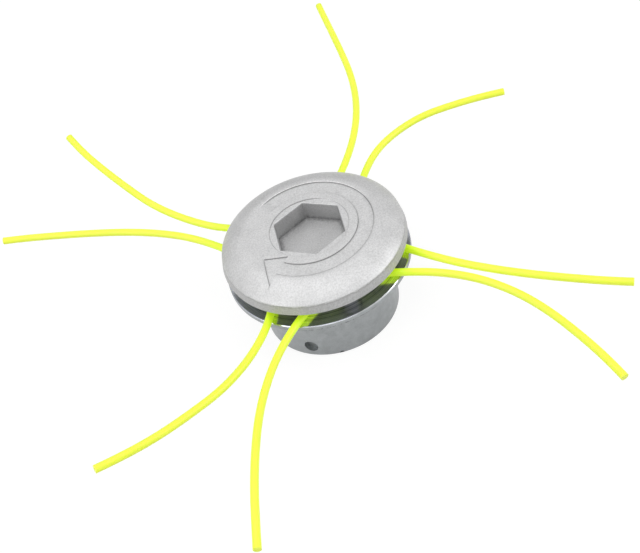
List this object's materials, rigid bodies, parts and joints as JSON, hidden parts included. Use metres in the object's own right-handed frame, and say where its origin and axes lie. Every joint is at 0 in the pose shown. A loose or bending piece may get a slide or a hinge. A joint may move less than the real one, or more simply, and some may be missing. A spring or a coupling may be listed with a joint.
{
  "type": "fixed line trimmer head",
  "caption": "Round fixed-line trimmer head in die-cast aluminium with a hexagon recess, a rotation arrow and yellow nylon line ends sticking out of the gap between cap and hub.",
  "frame": {"origin": "centre of the hub's lower rim, on the spin axis", "axes": "+Z along the spin axis from the hub's open end to the cap, which is the side that faces the ground in use; +Y towards the corner of the hexagon recess beside the arrow's band, away from the radial pin hole"},
  "size_m": [0.2314, 0.2679, 0.0549],
  "materials": {
    "cap_aluminium": "die-cast, matt blasted",
    "hub_aluminium": "die-cast, tumbled satin",
    "zinc_steel": "zinc plated",
    "spring_steel": "bright spring steel",
    "nylon_line": "extruded nylon, fluorescent yellow"
  },
  "bodies": {
    "root": {"cap_casting": "cap_aluminium", "hub_casting": "hub_aluminium", "thread_bush": "zinc_steel", "clamp_screw_1": "zinc_steel", "clamp_screw_2": "zinc_steel", "clamp_screw_3": "zinc_steel", "clamp_screw_4": "zinc_steel", "spring_washer_1": "spring_steel", "spring_washer_2": "spring_steel", "spring_washer_3": "spring_steel", "spring_washer_4": "spring_steel", "line_back": "nylon_line", "line_right": "nylon_line", "line_front": "nylon_line", "line_left": "nylon_line"}
  },
  "joints": []
}
